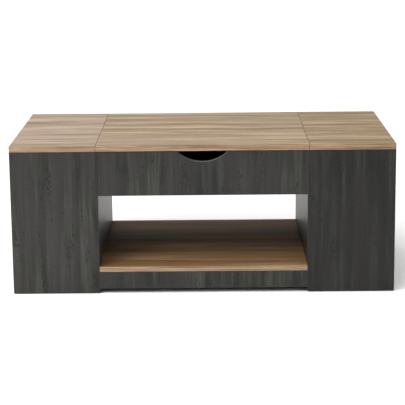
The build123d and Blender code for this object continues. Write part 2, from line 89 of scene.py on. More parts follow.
# The studio: a seamless pale paper floor that meets a low pale backdrop, under a bright ceiling
# and dark walls. A broad key light stands high in front on the left, and a second one behind
# on the left gives the satin top its sheen.
FLOOR_COLOUR = "#f6f5f3"
FLOOR_SIZE = 60
CEILING_STRENGTH, WALL_STRENGTH, CEILING_LEAN = 1.2, 0.04, 0.4
CEILING_BEGINS, CEILING_FULL = 0.4, 0.8
BACKDROP_STRENGTH, BACKDROP_HEIGHT, BACKDROP_END = 0.92, 0.065, 0.1
SUN_STRENGTH, SUN_SPREAD, SUN_FROM = 1.5, 60, (-0.4, -0.6, 0.9)


def linear(code):
    """A hex sRGB colour as the linear red, green, blue and alpha that shaders take."""
    parts = [int(code[i : i + 2], 16) / 255 for i in (1, 3, 5)]
    return [c / 12.92 if c <= 0.04045 else ((c + 0.055) / 1.055) ** 2.4 for c in parts] + [1]


def add_node(material, kind, inputs=None, stops=None, **settings):
    """Adds a shader node. An input given as a socket is linked, and any other is set."""
    tree = material.node_tree
    made = tree.nodes.new("ShaderNode" + kind)
    for name, value in settings.items():
        setattr(made, name, value)
    for name, value in (inputs or {}).items():
        if isinstance(value, bpy.types.NodeSocket):
            tree.links.new(value, made.inputs[name])
        else:
            made.inputs[name].default_value = value
    if stops:
        points = made.color_ramp.elements
        while len(points) < len(stops):
            points.new(1)
        for point, (place, colour) in zip(points, stops):
            point.position = place
            point.color = linear(colour)
    return made


def new_material(name):
    """An empty node material, with its surface still to be linked."""
    material = bpy.data.materials.new(name)
    material.use_nodes = True
    material.node_tree.nodes.clear()
    return material


def finish_material(material, inputs):
    """Gives a material its surface shader and links it to the output."""
    surface = add_node(material, "BsdfPrincipled", inputs)
    add_node(material, "OutputMaterial", {"Surface": surface.outputs["BSDF"]})
    return material


floor_shape = bmesh.new()
bmesh.ops.create_grid(floor_shape, x_segments=1, y_segments=1, size=FLOOR_SIZE / 2)
floor_mesh = bpy.data.meshes.new("studio_floor")
floor_shape.to_mesh(floor_mesh)
floor_shape.free()
paper = new_material("matt_white_paper")
finish_material(
    paper, {"Base Color": linear(FLOOR_COLOUR), "Roughness": 0.9, "Specular IOR Level": 0.1}
)
floor_mesh.materials.append(paper)
studio_floor = bpy.data.objects.new("studio_floor", floor_mesh)
bpy.context.scene.collection.objects.link(studio_floor)
studio_floor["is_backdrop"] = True

room = bpy.data.worlds.new("studio_room")
room.use_nodes = True
direction = add_node(room, "TexCoord")
height = add_node(room, "SeparateXYZ", {"Vector": direction.outputs["Generated"]})
forward = add_node(
    room,
    "Math",
    {0: height.outputs["Y"], 1: -CEILING_LEAN, 2: height.outputs["Z"]},
    operation="MULTIPLY_ADD",
)
ceiling = add_node(
    room,
    "MapRange",
    {
        "Value": forward.outputs["Value"],
        "From Min": CEILING_BEGINS,
        "From Max": CEILING_FULL,
        "To Min": WALL_STRENGTH,
        "To Max": CEILING_STRENGTH,
    },
    interpolation_type="SMOOTHSTEP",
)
backdrop = add_node(
    room,
    "MapRange",
    {
        "Value": height.outputs["Z"],
        "From Min": BACKDROP_HEIGHT,
        "From Max": BACKDROP_END,
        "To Min": BACKDROP_STRENGTH,
        "To Max": 0,
    },
)
both = add_node(
    room, "Math", {0: ceiling.outputs["Result"], 1: backdrop.outputs["Result"]}, operation="ADD"
)
light = room.node_tree.nodes["Background"]
light.inputs["Color"].default_value = linear("#ffffff")
room.node_tree.links.new(both.outputs["Value"], light.inputs["Strength"])
bpy.context.scene.world = room
bpy.context.scene.view_settings.view_transform = "Standard"

sun = bpy.data.objects.new("soft_sun", bpy.data.lights.new("soft_sun", "SUN"))
sun.data.energy = SUN_STRENGTH
sun.data.angle = radians(SUN_SPREAD)
sun.rotation_euler = Vector(SUN_FROM).to_track_quat("Z", "Y").to_euler()
bpy.context.scene.collection.objects.link(sun)

# name, place, aimed at, width, height, watts
SOFTBOXES = (
    ("key", (-1.5, -1.6, 1.7), (-0.3, -0.3, 0.25), 1.0, 1.0, 34),
    ("sheen", (-0.7, 2.4, 3.2), (0, 0, 0.45), 3.0, 1.6, 28),
)
for name, place, aim, width, height, watts in SOFTBOXES:
    softbox = bpy.data.objects.new(name, bpy.data.lights.new(name, "AREA"))
    softbox.data.shape = "RECTANGLE"
    softbox.data.size, softbox.data.size_y, softbox.data.energy = width, height, watts
    softbox.location = place
    softbox.rotation_euler = (Vector(place) - Vector(aim)).to_track_quat("Z", "Y").to_euler()
    bpy.context.scene.collection.objects.link(softbox)


# Oak boards: the lift top, the two fixed side tops and the lower shelf. Particle board faced with
# printed oak melamine, grain along the table, and edged with a 0.4 mm band glued on all round. The
# sheets are cut separately, from different places in the pattern. The tops' tones hold painted
# light:
# the left top is palest and the right top darkest, a painted falloff of the key light from the
# left, and all three are paled and greyed by a painted sheen.
OAK_BAND, EASE = 0.0004, 0.0003
SHEET_STEP = 3.7
CUT_FACET, CORNER = 0.0002, radians(60)


def wood_noise(material, place, width_mm, ratio, detail, seed):
    """Noise drawn out along the grain: U of the place runs along it, and V across it."""
    across = 1000 / width_mm
    scale = {"Scale": (across / ratio, across, across), "Location": (seed, seed * 1.7, 0)}
    laid = add_node(material, "Mapping", {"Vector": place, **scale})
    noise = add_node(
        material,
        "TexNoise",
        {"Vector": laid.outputs["Vector"], "Scale": 1, "Detail": detail, "Roughness": 0.6},
    )
    return noise.outputs["Fac"]


def wandering(material, sway_mm):
    """The board's grain map, with the grain lines swaying a little from side to side."""
    grain = add_node(material, "UVMap", uv_map="grain")
    sway = wood_noise(material, grain.outputs["UV"], 90, 5, 2, 3)
    offset = add_node(
        material, "MapRange", {"Value": sway, "To Min": -sway_mm / 1000, "To Max": sway_mm / 1000}
    )
    aside = add_node(material, "CombineXYZ", {"Y": offset.outputs["Result"]})
    swayed = add_node(
        material,
        "VectorMath",
        {0: grain.outputs["UV"], 1: aside.outputs["Vector"]},
        operation="ADD",
    )
    return swayed.outputs["Vector"]


def oak_melamine(name, dark, mid, pale, pink, band_mm=42):
    """Printed oak: soft bands of beige, olive and pink, fine streaks and short dark pores, under a
    satin lacquer with the pores pressed in. The pores are drawn 1.1 mm wide, about three times
    too coarse, so that they show."""
    material = new_material(name)
    place = wandering(material, 7)
    bands = wood_noise(material, place, band_mm, 22, 3, 0)
    tone = add_node(
        material,
        "ValToRGB",
        {"Fac": bands},
        stops=[(0.38, dark), (0.5, mid), (0.6, pale)],
    )
    blush = wood_noise(material, place, band_mm * 1.6, 9, 2, 11)
    blush_share = add_node(
        material, "MapRange", {"Value": blush, "From Min": 0.46, "From Max": 0.7}
    )
    tinted = add_node(
        material,
        "MixRGB",
        {
            "Fac": blush_share.outputs["Result"],
            "Color1": tone.outputs["Color"],
            "Color2": linear(pink),
        },
    )
    streaks = wood_noise(material, place, 5, 45, 4, 5)
    streak_tone = add_node(
        material, "ValToRGB", {"Fac": streaks}, stops=[(0.32, "#b9ab9b"), (0.6, "#ffffff")]
    )
    pores = wood_noise(material, place, 1.1, 22, 2, 8)
    pore_tone = add_node(
        material, "ValToRGB", {"Fac": pores}, stops=[(0.28, "#8d7c6c"), (0.4, "#ffffff")]
    )
    streaked = add_node(
        material,
        "MixRGB",
        {"Fac": 1, "Color1": tinted.outputs["Color"], "Color2": streak_tone.outputs["Color"]},
        blend_type="MULTIPLY",
    )
    pored = add_node(
        material,
        "MixRGB",
        {"Fac": 0.6, "Color1": streaked.outputs["Color"], "Color2": pore_tone.outputs["Color"]},
        blend_type="MULTIPLY",
    )
    gloss = add_node(
        material,
        "MapRange",
        {"Value": pores, "From Min": 0.3, "From Max": 0.6, "To Min": 0.56, "To Max": 0.46},
    )
    pressed = add_node(material, "Bump", {"Height": pores, "Strength": 0.2, "Distance": 0.0003})
    return finish_material(
        material,
        {
            "Base Color": pored.outputs["Color"],
            "Roughness": gloss.outputs["Result"],
            "IOR": 1.5,
            "Specular IOR Level": 0.4,
            "Normal": pressed.outputs["Normal"],
        },
    )


def add_piece(name, shape, materials, body, nodes):
    """Turns a finished bmesh into a piece that rides on a body in place of its CAD nodes."""
    mesh = bpy.data.meshes.new(name)
    shape.to_mesh(mesh)
    shape.free()
    for material in materials:
        mesh.materials.append(material)
    piece = bpy.data.objects.new(name, mesh)
    bpy.context.scene.collection.objects.link(piece)
    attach(piece, body)
    if nodes:
        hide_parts(*nodes)
    return piece


def lay_grain(shape, along, size, shift):
    """Maps the grain in metres: U runs along the grain, or along an end that crosses it."""
    layer = shape.loops.layers.uv.new("grain")
    for face in shape.faces:
        facing = max(range(3), key=lambda axis: abs(face.normal[axis]))
        plane = [axis for axis in range(3) if axis != facing]
        u = along if along in plane else max(plane, key=lambda axis: size[axis])
        v = [axis for axis in plane if axis != u][0]
        for loop in face.loops:
            point = loop.vert.co
            loop[layer].uv = (point[u] + shift, point[v] + SHEET_STEP * shift + facing)


def faced_board(node, edges, thin, along, shift, materials, band, body):
    """A board made from the outline of its lower face: pushed to its thickness, its edge bands
    marked out on both faces, and its corners eased. The third material is for curved cuts."""
    low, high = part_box(node)
    shape = bmesh.new()
    rim = [shape.verts.new(point) for point in edges]
    loop = [shape.edges.new(pair) for pair in zip(rim, rim[1:] + rim[:1])]
    bmesh.ops.contextual_create(shape, geom=loop)
    depth = Vector([high[axis] - low[axis] if axis == thin else 0 for axis in range(3)])
    pushed = bmesh.ops.extrude_face_region(shape, geom=shape.faces[:])
    moved = [part for part in pushed["geom"] if isinstance(part, bmesh.types.BMVert)]
    bmesh.ops.translate(shape, vec=depth, verts=moved)
    bmesh.ops.recalc_face_normals(shape, faces=shape.faces)
    flats = [face for face in shape.faces if abs(face.normal[thin]) > 0.9]
    for face in shape.faces:
        curved = max(abs(n) for n in face.normal) < 0.999 or face.calc_area() < CUT_FACET
        face.material_index = 0 if face in flats else 2 if curved else 1
    for face in flats:
        made = bmesh.ops.inset_region(shape, faces=[face], thickness=band, use_even_offset=True)
        for ring in made["faces"]:
            ring.material_index = 1
    corners = [edge for edge in shape.edges if edge.calc_face_angle(0) > CORNER]
    bmesh.ops.bevel(
        shape, geom=corners, offset=EASE, segments=2, profile=0.5, affect="EDGES", material=-1
    )
    lay_grain(shape, along, [high[axis] - low[axis] for axis in range(3)], shift)
    return add_piece(node + "_faced", shape, materials, body, [node])


def box_outline(node, thin):
    """The corners of a board's lower face, across the axis that it is thin along."""
    low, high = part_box(node)
    a, b = [axis for axis in range(3) if axis != thin]
    corners = []
    for at_a, at_b in ((low[a], low[b]), (high[a], low[b]), (high[a], high[b]), (low[a], high[b])):
        point = [low[thin]] * 3
        point[a], point[b] = at_a, at_b
        corners.append(point)
    return corners


oak_edge = oak_melamine("oak_edge_band", "#7f664b", "#8e765b", "#9c866a", "#8e7462", 9)
# node, body, dark, middle, pale and pink tones, and where its sheet is cut from the pattern
for node, body, dark, mid, pale, pink, shift in (
    # The tops' tones hold painted light: palest on the left, darkest on the right, and greyed by a
    # painted sheen.
    ("left_side_top", "case", "#877763", "#a89884", "#bcac97", "#a89387", 0.31),
    ("lift_top_board", "lift_top", "#8a7961", "#a49277", "#b7a68a", "#a08c7a", 1.73),
    ("right_side_top", "case", "#83714f", "#9d8b6c", "#b3a283", "#99856e", 2.9),
    # The shelf's tones are warmer and more golden than the tops': a painted warm bounce light, as
    # the shelf sits in the table's shade.
    ("lower_shelf", "case", "#6e5232", "#836540", "#967852", "#7d5e40", 4.4),
):
    oak = oak_melamine(node + "_oak_melamine", dark, mid, pale, pink)
    oak_set = [oak, oak_edge, oak_edge]
    faced_board(
        node, box_outline(node, 2), 2, 0, shift, oak_set, OAK_BAND, body
    )


# Charcoal boards: pedestal panels, aprons, toe boards and the compartment's floor. Particle board
# faced with charcoal woodgrain melamine, grain upright. It is satin, so it mirrors what is bright
# when it is seen along its length. The 1 mm edge bands are near black.
CHARCOAL_BAND = 0.001


def charcoal_melamine(name, dark, mid, pale, plum, level=False):
    """Printed dark wood: soft upright bands that drift between green and purple greys, thin dark
    streaks, and strings of dark pits, drawn 4 mm wide so that they show."""
    material = new_material(name)
    if level:
        place = add_node(material, "TexCoord").outputs["Object"]
    else:
        place = wandering(material, 5)
    bands = wood_noise(material, place, 26, 16, 3, 0)
    tone = add_node(
        material,
        "ValToRGB",
        {"Fac": bands},
        stops=[(0.38, dark), (0.5, mid), (0.62, pale)],
    )
    drift = wood_noise(material, place, 85, 2, 1, 9)
    drift_share = add_node(
        material, "MapRange", {"Value": drift, "From Min": 0.42, "From Max": 0.58, "To Max": 0.7}
    )
    tinted = add_node(
        material,
        "MixRGB",
        {
            "Fac": drift_share.outputs["Result"],
            "Color1": tone.outputs["Color"],
            "Color2": linear(plum),
        },
    )
    streaks = wood_noise(material, place, 4, 60, 2, 4)
    streak_tone = add_node(
        material, "ValToRGB", {"Fac": streaks}, stops=[(0.35, "#cfcfcf"), (0.7, "#ffffff")]
    )
    pits = wood_noise(material, place, 4.2, 2.4, 2, 6)
    strings = wood_noise(material, place, 30, 5, 1, 2)
    more_pits = add_node(
        material,
        "MapRange",
        {"Value": strings, "From Min": 0.5, "From Max": 0.68, "To Max": 0.16},
    )
    pitted = add_node(material, "Math", {0: pits, 1: more_pits.outputs["Result"]}, operation="ADD")
    pit_tone = add_node(
        material,
        "ValToRGB",
        {"Fac": pitted.outputs["Value"]},
        stops=[(0.65, "#ffffff"), (0.72, "#6e6c6a")],
    )
    streaked = add_node(
        material,
        "MixRGB",
        {"Fac": 1, "Color1": tinted.outputs["Color"], "Color2": streak_tone.outputs["Color"]},
        blend_type="MULTIPLY",
    )
    flecked = add_node(
        material,
        "MixRGB",
        {"Fac": 1, "Color1": streaked.outputs["Color"], "Color2": pit_tone.outputs["Color"]},
        blend_type="MULTIPLY",
    )
    grit = wood_noise(material, place, 1.4, 12, 2, 7)
    gloss = add_node(
        material,
        "MapRange",
        {"Value": grit, "From Min": 0.3, "From Max": 0.7, "To Min": 0.46, "To Max": 0.34},
    )
    pressed = add_node(material, "Bump", {"Height": grit, "Strength": 0.2, "Distance": 0.0004})
    return finish_material(
        material,
        {
            "Base Color": flecked.outputs["Color"],
            "Roughness": gloss.outputs["Result"],
            "IOR": 1.5,
            "Specular IOR Level": 0.32,
            "Normal": pressed.outputs["Normal"],
        },
    )


def plain_plastic(name, colour, roughness, grain_mm):
    """Moulded or extruded plastic with an even texture that softens its highlights, drawn a few
    times coarser than the real one so that it shows."""
    material = new_material(name)
    place = add_node(material, "TexCoord").outputs["Object"]
    texture = wood_noise(material, place, grain_mm, 1, 2, 1)
    shade = add_node(
        material, "ValToRGB", {"Fac": texture}, stops=[(0.35, "#dcdcdc"), (0.65, "#ffffff")]
    )
    tint = add_node(
        material,
        "MixRGB",
        {"Fac": 1, "Color1": linear(colour), "Color2": shade.outputs["Color"]},
        blend_type="MULTIPLY",
    )
    bumps = add_node(material, "Bump", {"Height": texture, "Strength": 0.15, "Distance": 0.0002})
    gloss = add_node(
        material,
        "MapRange",
        {"Value": texture, "To Min": roughness - 0.06, "To Max": roughness + 0.06},
    )
    return finish_material(
        material,
        {
            "Base Color": tint.outputs["Color"],
            "Roughness": gloss.outputs["Result"],
            "IOR": 1.46,
            "Normal": bumps.outputs["Normal"],
        },
    )


charcoal = charcoal_melamine(
    "charcoal_woodgrain_melamine", "#151513", "#232420", "#373833", "#2a2626"
)
# A darker copy of the same charcoal for the right pedestal's boards: painted shade, for the falloff
# of the key light that stands on the left.
painted_shade_charcoal = charcoal_melamine(
    "painted_shade_charcoal_woodgrain_melamine", "#0b0b0a", "#161713", "#272823", "#1b1817"
)
black_band = plain_plastic("black_abs_edge_band", "#1b1b1a", 0.5, 3)
# The curved cuts' band is a lighter grey: a painted highlight on the notch's upward-facing edge,
# lit from above.
notch_band_painted_highlight = plain_plastic("notch_edge_band_painted_highlight", "#6a6b67", 0.42, 3)
charcoal_set = [charcoal, black_band, notch_band_painted_highlight]
painted_shade_set = [painted_shade_charcoal, black_band, notch_band_painted_highlight]
side_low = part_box("right_side_top")[0]
apron_low, apron_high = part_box("front_apron")

# node, thin axis, and where its sheet is cut from the pattern
for node, thin, shift in (
    ("left_outer_side", 0, 0.2),
    ("left_inner_side", 0, 1.1),
    ("right_outer_side", 0, 2.3),
    ("right_inner_side", 0, 3.6),
    ("back_apron", 1, 4.2),
    ("front_toe_board", 1, 5.5),
    ("back_toe_board", 1, 6.1),
):
    outline = box_outline(node, thin)
    # The right pedestal's boards take the darker copy, as painted shade.
    finish = painted_shade_set if node.startswith("right") else charcoal_set
    faced_board(node, outline, thin, 2, shift, finish, CHARCOAL_BAND, "case")

# Front and back panels: a step is cut from the top inner corner, where the apron's end is let in.
for node, shift in (
    ("left_front_panel", 0.5),
    ("right_front_panel", 1.9),
    ("left_back_panel", 2.7),
    ("right_back_panel", 3.3),
):
    low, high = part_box(node)
    s = 1 if high[0] > 0 else -1
    inner, outer = (low[0], high[0]) if s > 0 else (high[0], low[0])
    profile = ((inner, low[2]), (outer, low[2]), (outer, high[2]))
    step = s * side_low[0]
    profile += ((step, high[2]), (step, apron_low[2]), (inner, apron_low[2]))
    outline = [(x, low[1], z) for x, z in profile]
    # The right pedestal's panels take the darker copy, as painted shade.
    finish = painted_shade_set if s > 0 else charcoal_set
    faced_board(node, outline, 1, 2, shift, finish, CHARCOAL_BAND, "case")

# Front apron: the finger notch is a shallow arc routed in the top edge, with its cut edge banded.
# That band is a lighter grey than the black bands: a painted highlight, where the upward-facing cut
# catches the light from above.
NOTCH_HALF, NOTCH_DEPTH, NOTCH_STEPS, APRON_SHIFT = 0.079, 0.033, 36, 7.4
notch_radius = (NOTCH_HALF**2 + NOTCH_DEPTH**2) / (2 * NOTCH_DEPTH)
notch_middle = Vector((0, apron_low[1], apron_high[2] - NOTCH_DEPTH + notch_radius))
arc = bmesh.new()
start = arc.verts.new((-NOTCH_HALF, apron_low[1], apron_high[2]))
bmesh.ops.spin(
    arc,
    geom=[start],
    cent=notch_middle,
    axis=(0, 1, 0),
    angle=-2 * asin(NOTCH_HALF / notch_radius),
    steps=NOTCH_STEPS,
)
curve = sorted((vert.co.copy() for vert in arc.verts), key=lambda point: point.x)
arc.free()
y = apron_low[1]
outline = [(apron_low[0], y, apron_high[2])] + curve + [(apron_high[0], y, apron_high[2])]
outline += [(apron_high[0], y, apron_low[2]), (apron_low[0], y, apron_low[2])]
faced_board(
    "front_apron",
    outline,
    1,
    2,
    APRON_SHIFT,
    charcoal_set,
    CHARCOAL_BAND,
    "case",
)

# The compartment's floor and the pedestals' bottoms keep their bored undersides.
level_charcoal = charcoal_melamine(
    "charcoal_melamine_level_boards", "#151513", "#232420", "#373833", "#2a2626", level=True
)
for node in ("compartment_floor", "left_pedestal_bottom", "right_pedestal_bottom"):
    for slot in frame["nodes"][node].material_slots:
        slot.material = level_charcoal


# Metal finishes. Powder coat is a baked paint with a slight orange peel. Zinc plate is a thin
# bright grey coat with a cloudy blue-yellow cast. Spring wire is drawn and nickel plated.


def orange_peel(name, colour, roughness, grain_mm):
    """Baked powder paint on pressed steel: nearly even, with a faint pebbled skin whose pebbles
    are drawn about twice too coarse, so that they show."""
    material = new_material(name)
    place = add_node(material, "TexCoord").outputs["Object"]
    peel = wood_noise(material, place, grain_mm, 1, 3, 2)
    shade = add_node(
        material, "ValToRGB", {"Fac": peel}, stops=[(0.3, "#c8c8c8"), (0.7, "#ffffff")]
    )
    tint = add_node(
        material,
        "MixRGB",
        {"Fac": 1, "Color1": linear(colour), "Color2": shade.outputs["Color"]},
        blend_type="MULTIPLY",
    )
    skin = add_node(material, "Bump", {"Height": peel, "Strength": 0.25, "Distance": 0.0002})
    gloss = add_node(
        material,
        "MapRange",
        {"Value": peel, "To Min": roughness - 0.08, "To Max": roughness + 0.08},
    )
    return finish_material(
        material,
        {
            "Base Color": tint.outputs["Color"],
            "Roughness": gloss.outputs["Result"],
            "IOR": 1.5,
            "Normal": skin.outputs["Normal"],
        },
    )


def plated_metal(name, dull, bright, roughness, cloud_mm):
    """Plated steel: a metal whose gloss and tone drift in small clouds."""
    material = new_material(name)
    place = add_node(material, "TexCoord").outputs["Object"]
    clouds = wood_noise(material, place, cloud_mm, 1, 3, 3)
    tone = add_node(material, "ValToRGB", {"Fac": clouds}, stops=[(0.35, dull), (0.65, bright)])
    gloss = add_node(
        material,
        "MapRange",
        {"Value": clouds, "To Min": roughness - 0.1, "To Max": roughness + 0.1},
    )
    return finish_material(
        material,
        {"Base Color": tone.outputs["Color"], "Metallic": 1, "Roughness": gloss.outputs["Result"]},
    )


powder_coat = orange_peel("black_powder_coat", "#1c1c1d", 0.4, 1.5)
zinc = plated_metal("zinc_plate", "#9c9a90", "#c4c5c6", 0.34, 4)
nickel_wire = plated_metal("nickel_plated_spring_wire", "#8f8d88", "#bab8b2", 0.3, 3)

# Arms of the lift linkage: flat bars blanked from 3 mm steel with round ends, a groove pressed
# along the middle to stiffen them, and tumbled edges under black powder coat.
ARM_HALF, ARM_EASE = 0.010, 0.0004
GROOVE_START, GROOVE_SIDE, GROOVE_SLOPE, GROOVE_DEPTH = 0.018, 0.0052, 0.0012, 0.0009
REAR_ARM_LAYERS, FRONT_ARM_LAYERS = (3, 6), (6.5, 9.5)
SHARP = radians(50)

# Where the mechanism turns, read from the part's own joints, as (y, z) on each side
joints = {joint["name"]: Vector(joint["pos_m"]) for joint in frame["joints"]}
front_pivot, front_tip = joints["arm_swing"], joints["lift_top_level"]
rear_pivot = joints["left_rear_arm_swing"]
rear_tip = rear_pivot + (front_tip - front_pivot)
TAIL_REACH = 0.024
tail = front_pivot - (front_tip - front_pivot).normalized() * TAIL_REACH
INNER_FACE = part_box("right_inner_side")[0].x
SIDES = (("left", -1), ("right", 1))


def at_layer(s, layer, place):
    """A point at a depth in mm from the pedestal's inner face, above a (y, z) place."""
    return Vector((s * (INNER_FACE - layer / 1000), place.y, place.z))


def eased(shape, width):
    """Rounds over every sharp edge and turns the faces outwards."""
    bmesh.ops.recalc_face_normals(shape, faces=shape.faces)
    sharp = [edge for edge in shape.edges if edge.calc_face_angle(0) > SHARP]
    bmesh.ops.bevel(
        shape, geom=sharp, offset=width, segments=2, profile=0.5, affect="EDGES", material=-1
    )
    for face in shape.faces:
        face.smooth = face.calc_area() < 1e-5
    return shape


def arm_bar(s, layer, start, end):
    """A bar with round ends from one (y, z) place to another, between two layers."""
    shape = bmesh.new()
    line = Vector((0, end.y - start.y, end.z - start.z))
    along = line.normalized()
    facing = Matrix.Rotation(atan2(along.z, along.y), 4, "X") @ Matrix.Rotation(pi / 2, 4, "Y")
    near = at_layer(s, layer[0], start)
    made = bmesh.ops.create_circle(
        shape, cap_ends=True, segments=48, radius=ARM_HALF, matrix=Matrix.Translation(near) @ facing
    )
    ahead = [vert for vert in made["verts"] if (vert.co - near).dot(along) > -1e-6]
    bmesh.ops.translate(shape, vec=line, verts=ahead)
    pushed = bmesh.ops.extrude_face_region(shape, geom=shape.faces[:])
    moved = [part for part in pushed["geom"] if isinstance(part, bmesh.types.BMVert)]
    thickness = Vector((-s * (layer[1] - layer[0]) / 1000, 0, 0))
    bmesh.ops.translate(shape, vec=thickness, verts=moved)
    for reach in (GROOVE_START, line.length - GROOVE_START):
        bmesh.ops.bisect_plane(
            shape,
            geom=shape.verts[:] + shape.edges[:] + shape.faces[:],
            plane_co=near + along * reach,
            plane_no=along,
        )
    bmesh.ops.recalc_face_normals(shape, faces=shape.faces)
    middle = near + line / 2 + thickness
    groove = [
        face
        for face in shape.faces
        if face.normal.x * -s > 0.9 and (face.calc_center_median() - middle).length < 0.01
    ]
    bmesh.ops.inset_region(shape, faces=groove, thickness=GROOVE_SIDE, use_even_offset=True)
    bmesh.ops.inset_region(shape, faces=groove, thickness=GROOVE_SLOPE, depth=-GROOVE_DEPTH)
    return eased(shape, ARM_EASE)


for side, s in SIDES:
    for which, body, layers, start, end in (
        ("_front_arm", "front_arms", FRONT_ARM_LAYERS, tail, front_tip),
        ("_rear_arm", side + "_rear_arm", REAR_ARM_LAYERS, rear_pivot, rear_tip),
    ):
        bar = arm_bar(s, layers, start, end)
        node = side + which
        add_piece(node + "_bar", bar, [powder_coat], body, [node])

# The cross bar: a round steel tube welded to both front arms, so that they move together. The
# weld bead stands up as a small ring at each end.


def turned(shape, foot, direction, profile, steps=28):
    """Spins a turned part's (radius, height) profile, in mm, about a line from its foot."""
    lean = direction.to_track_quat("Z", "Y").to_matrix().to_4x4()
    rim = [shape.verts.new((r / 1000, 0, h / 1000)) for r, h in profile]
    edges = [shape.edges.new(pair) for pair in zip(rim, rim[1:])]
    bmesh.ops.spin(
        shape,
        geom=rim + edges,
        cent=(0, 0, 0),
        axis=(0, 0, 1),
        angle=tau,
        steps=steps,
        use_merge=True,
    )
    new = {v for face in shape.faces if not face.tag for v in face.verts} | set(rim)
    bmesh.ops.transform(shape, matrix=Matrix.Translation(foot) @ lean, verts=list(new))
    for face in shape.faces:
        if not face.tag:
            face.smooth = True
            face.tag = True


def closed(shape):
    """Merges the points on a turned part's axis and turns its faces outwards."""
    bmesh.ops.remove_doubles(shape, verts=shape.verts, dist=1e-6)
    bmesh.ops.dissolve_degenerate(shape, dist=1e-7, edges=shape.edges)
    bmesh.ops.recalc_face_normals(shape, faces=shape.faces)
    return shape


bar_low, bar_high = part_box("cross_bar")
bar_middle = (bar_low + bar_high) / 2
bar_mm = (bar_high.x - bar_low.x) * 1000
tube = bmesh.new()
weld = [(8.2, 0), (7.8, 0.9), (6.9, 1.7), (6.1, 2.6), (6, 3.2)]
turned(
    tube,
    Vector((bar_low.x, bar_middle.y, bar_middle.z)),
    Vector((1, 0, 0)),
    [(0, 0)] + weld + [(r, bar_mm - h) for r, h in reversed(weld)] + [(0, bar_mm)],
    36,
)
add_piece(
    "cross_bar_tube", closed(tube), [powder_coat], "front_arms", ["cross_bar"]
)

# Base plates: 2.5 mm steel blanks with round corners, screwed flat to the pedestals' inner sides.
# They carry both lower pivots, the stop pin and the spring's anchor.
PLATE_CORNER, PLATE_EASE = 0.008, 0.0004

for side, s in SIDES:
    low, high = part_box(side + "_base_plate")
    plate = bmesh.new()
    size = Matrix.Diagonal((*(high - low), 1))
    bmesh.ops.create_cube(plate, size=1, matrix=Matrix.Translation((low + high) / 2) @ size)
    across = [e for e in plate.edges if abs(e.verts[0].co.x - e.verts[1].co.x) > 0.001]
    bmesh.ops.bevel(
        plate,
        geom=across,
        offset=PLATE_CORNER,
        segments=6,
        profile=0.5,
        affect="EDGES",
        material=-1,
    )
    add_piece(
        side + "_base_plate_blank",
        eased(plate, PLATE_EASE),
        [powder_coat],
        "case",
        [side + "_base_plate"],
    )

# Brackets: 3 mm steel angles folded with a small radius. The flange is screwed up into the lift
# top, and the arms' upper pivots are riveted in the hanging web.
BRACKET_SHEET, FOLD_RADIUS, WEB_CORNER, BRACKET_EASE = 0.003, 0.004, 0.008, 0.0003

for side, s in SIDES:
    low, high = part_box(side + "_top_bracket")
    outer, inner = (high.x, low.x) if s > 0 else (low.x, high.x)
    web_inside = outer - s * BRACKET_SHEET
    flange_under = high.z - BRACKET_SHEET
    section = ((outer, low.z), (outer, high.z), (inner, high.z), (inner, flange_under))
    section += ((web_inside, flange_under), (web_inside, low.z))
    bracket = bmesh.new()
    rim = [bracket.verts.new((x, low.y, z)) for x, z in section]
    loop = [bracket.edges.new(pair) for pair in zip(rim, rim[1:] + rim[:1])]
    bmesh.ops.contextual_create(bracket, geom=loop)
    pushed = bmesh.ops.extrude_face_region(bracket, geom=bracket.faces[:])
    moved = [part for part in pushed["geom"] if isinstance(part, bmesh.types.BMVert)]
    bmesh.ops.translate(bracket, vec=(0, high.y - low.y, 0), verts=moved)
    bmesh.ops.recalc_face_normals(bracket, faces=bracket.faces)
    for at_x, at_z, along, radius in (
        (outer, high.z, "y", FOLD_RADIUS),
        (web_inside, flange_under, "y", FOLD_RADIUS - BRACKET_SHEET),
        (None, low.z, "x", WEB_CORNER),
    ):
        found = []
        for edge in bracket.edges:
            p, q = edge.verts[0].co, edge.verts[1].co
            level = abs(p.z - at_z) < 1e-5 and abs(q.z - at_z) < 1e-5
            if along == "y" and level and abs(p.x - at_x) < 1e-5 and abs(q.x - at_x) < 1e-5:
                found.append(edge)
            if along == "x" and level and abs(p.x - q.x) > 0.001:
                found.append(edge)
        bmesh.ops.bevel(
            bracket, geom=found, offset=radius, segments=5, profile=0.5, affect="EDGES", material=-1
        )
    add_piece(
        side + "_top_bracket_angle",
        eased(bracket, BRACKET_EASE),
        [powder_coat],
        "lift_top",
        [side + "_top_bracket"],
    )

# Pivot pins: zinc plated shoulder rivets, with a domed head and a headed-over end. The stop pins
# and the pins that the springs hook on are turned and riveted the same way.
SHANK, SHOULDER, HEAD, HEAD_BREAK = 4, 6, 7, 6.1
HEAD_RISE, FLUSH_RISE, WEB_FACE = 1.6, 0.1, 12.9


def rivet(shape, s, place, start, end, heads, shoulder=None):
    """A pin between two layers, with (layer, height) heads and a shoulder between two layers."""
    toward = Vector((-s, 0, 0))
    profile = [(0, 0), (SHANK, 0), (SHANK, end - start), (0, end - start)]
    turned(shape, at_layer(s, start, place), toward, profile)
    for layer, rise in heads:
        dome = [(0, 0), (HEAD, 0), (HEAD, 0.35 * rise), (HEAD_BREAK, 0.72 * rise)]
        dome += [(SHANK, 0.95 * rise), (0, rise)]
        turned(shape, at_layer(s, layer, place), toward, dome)
    if shoulder:
        width = shoulder[1] - shoulder[0]
        ring = [(0, 0), (SHOULDER, 0), (SHOULDER, width), (0, width)]
        turned(shape, at_layer(s, shoulder[0], place), toward, ring)


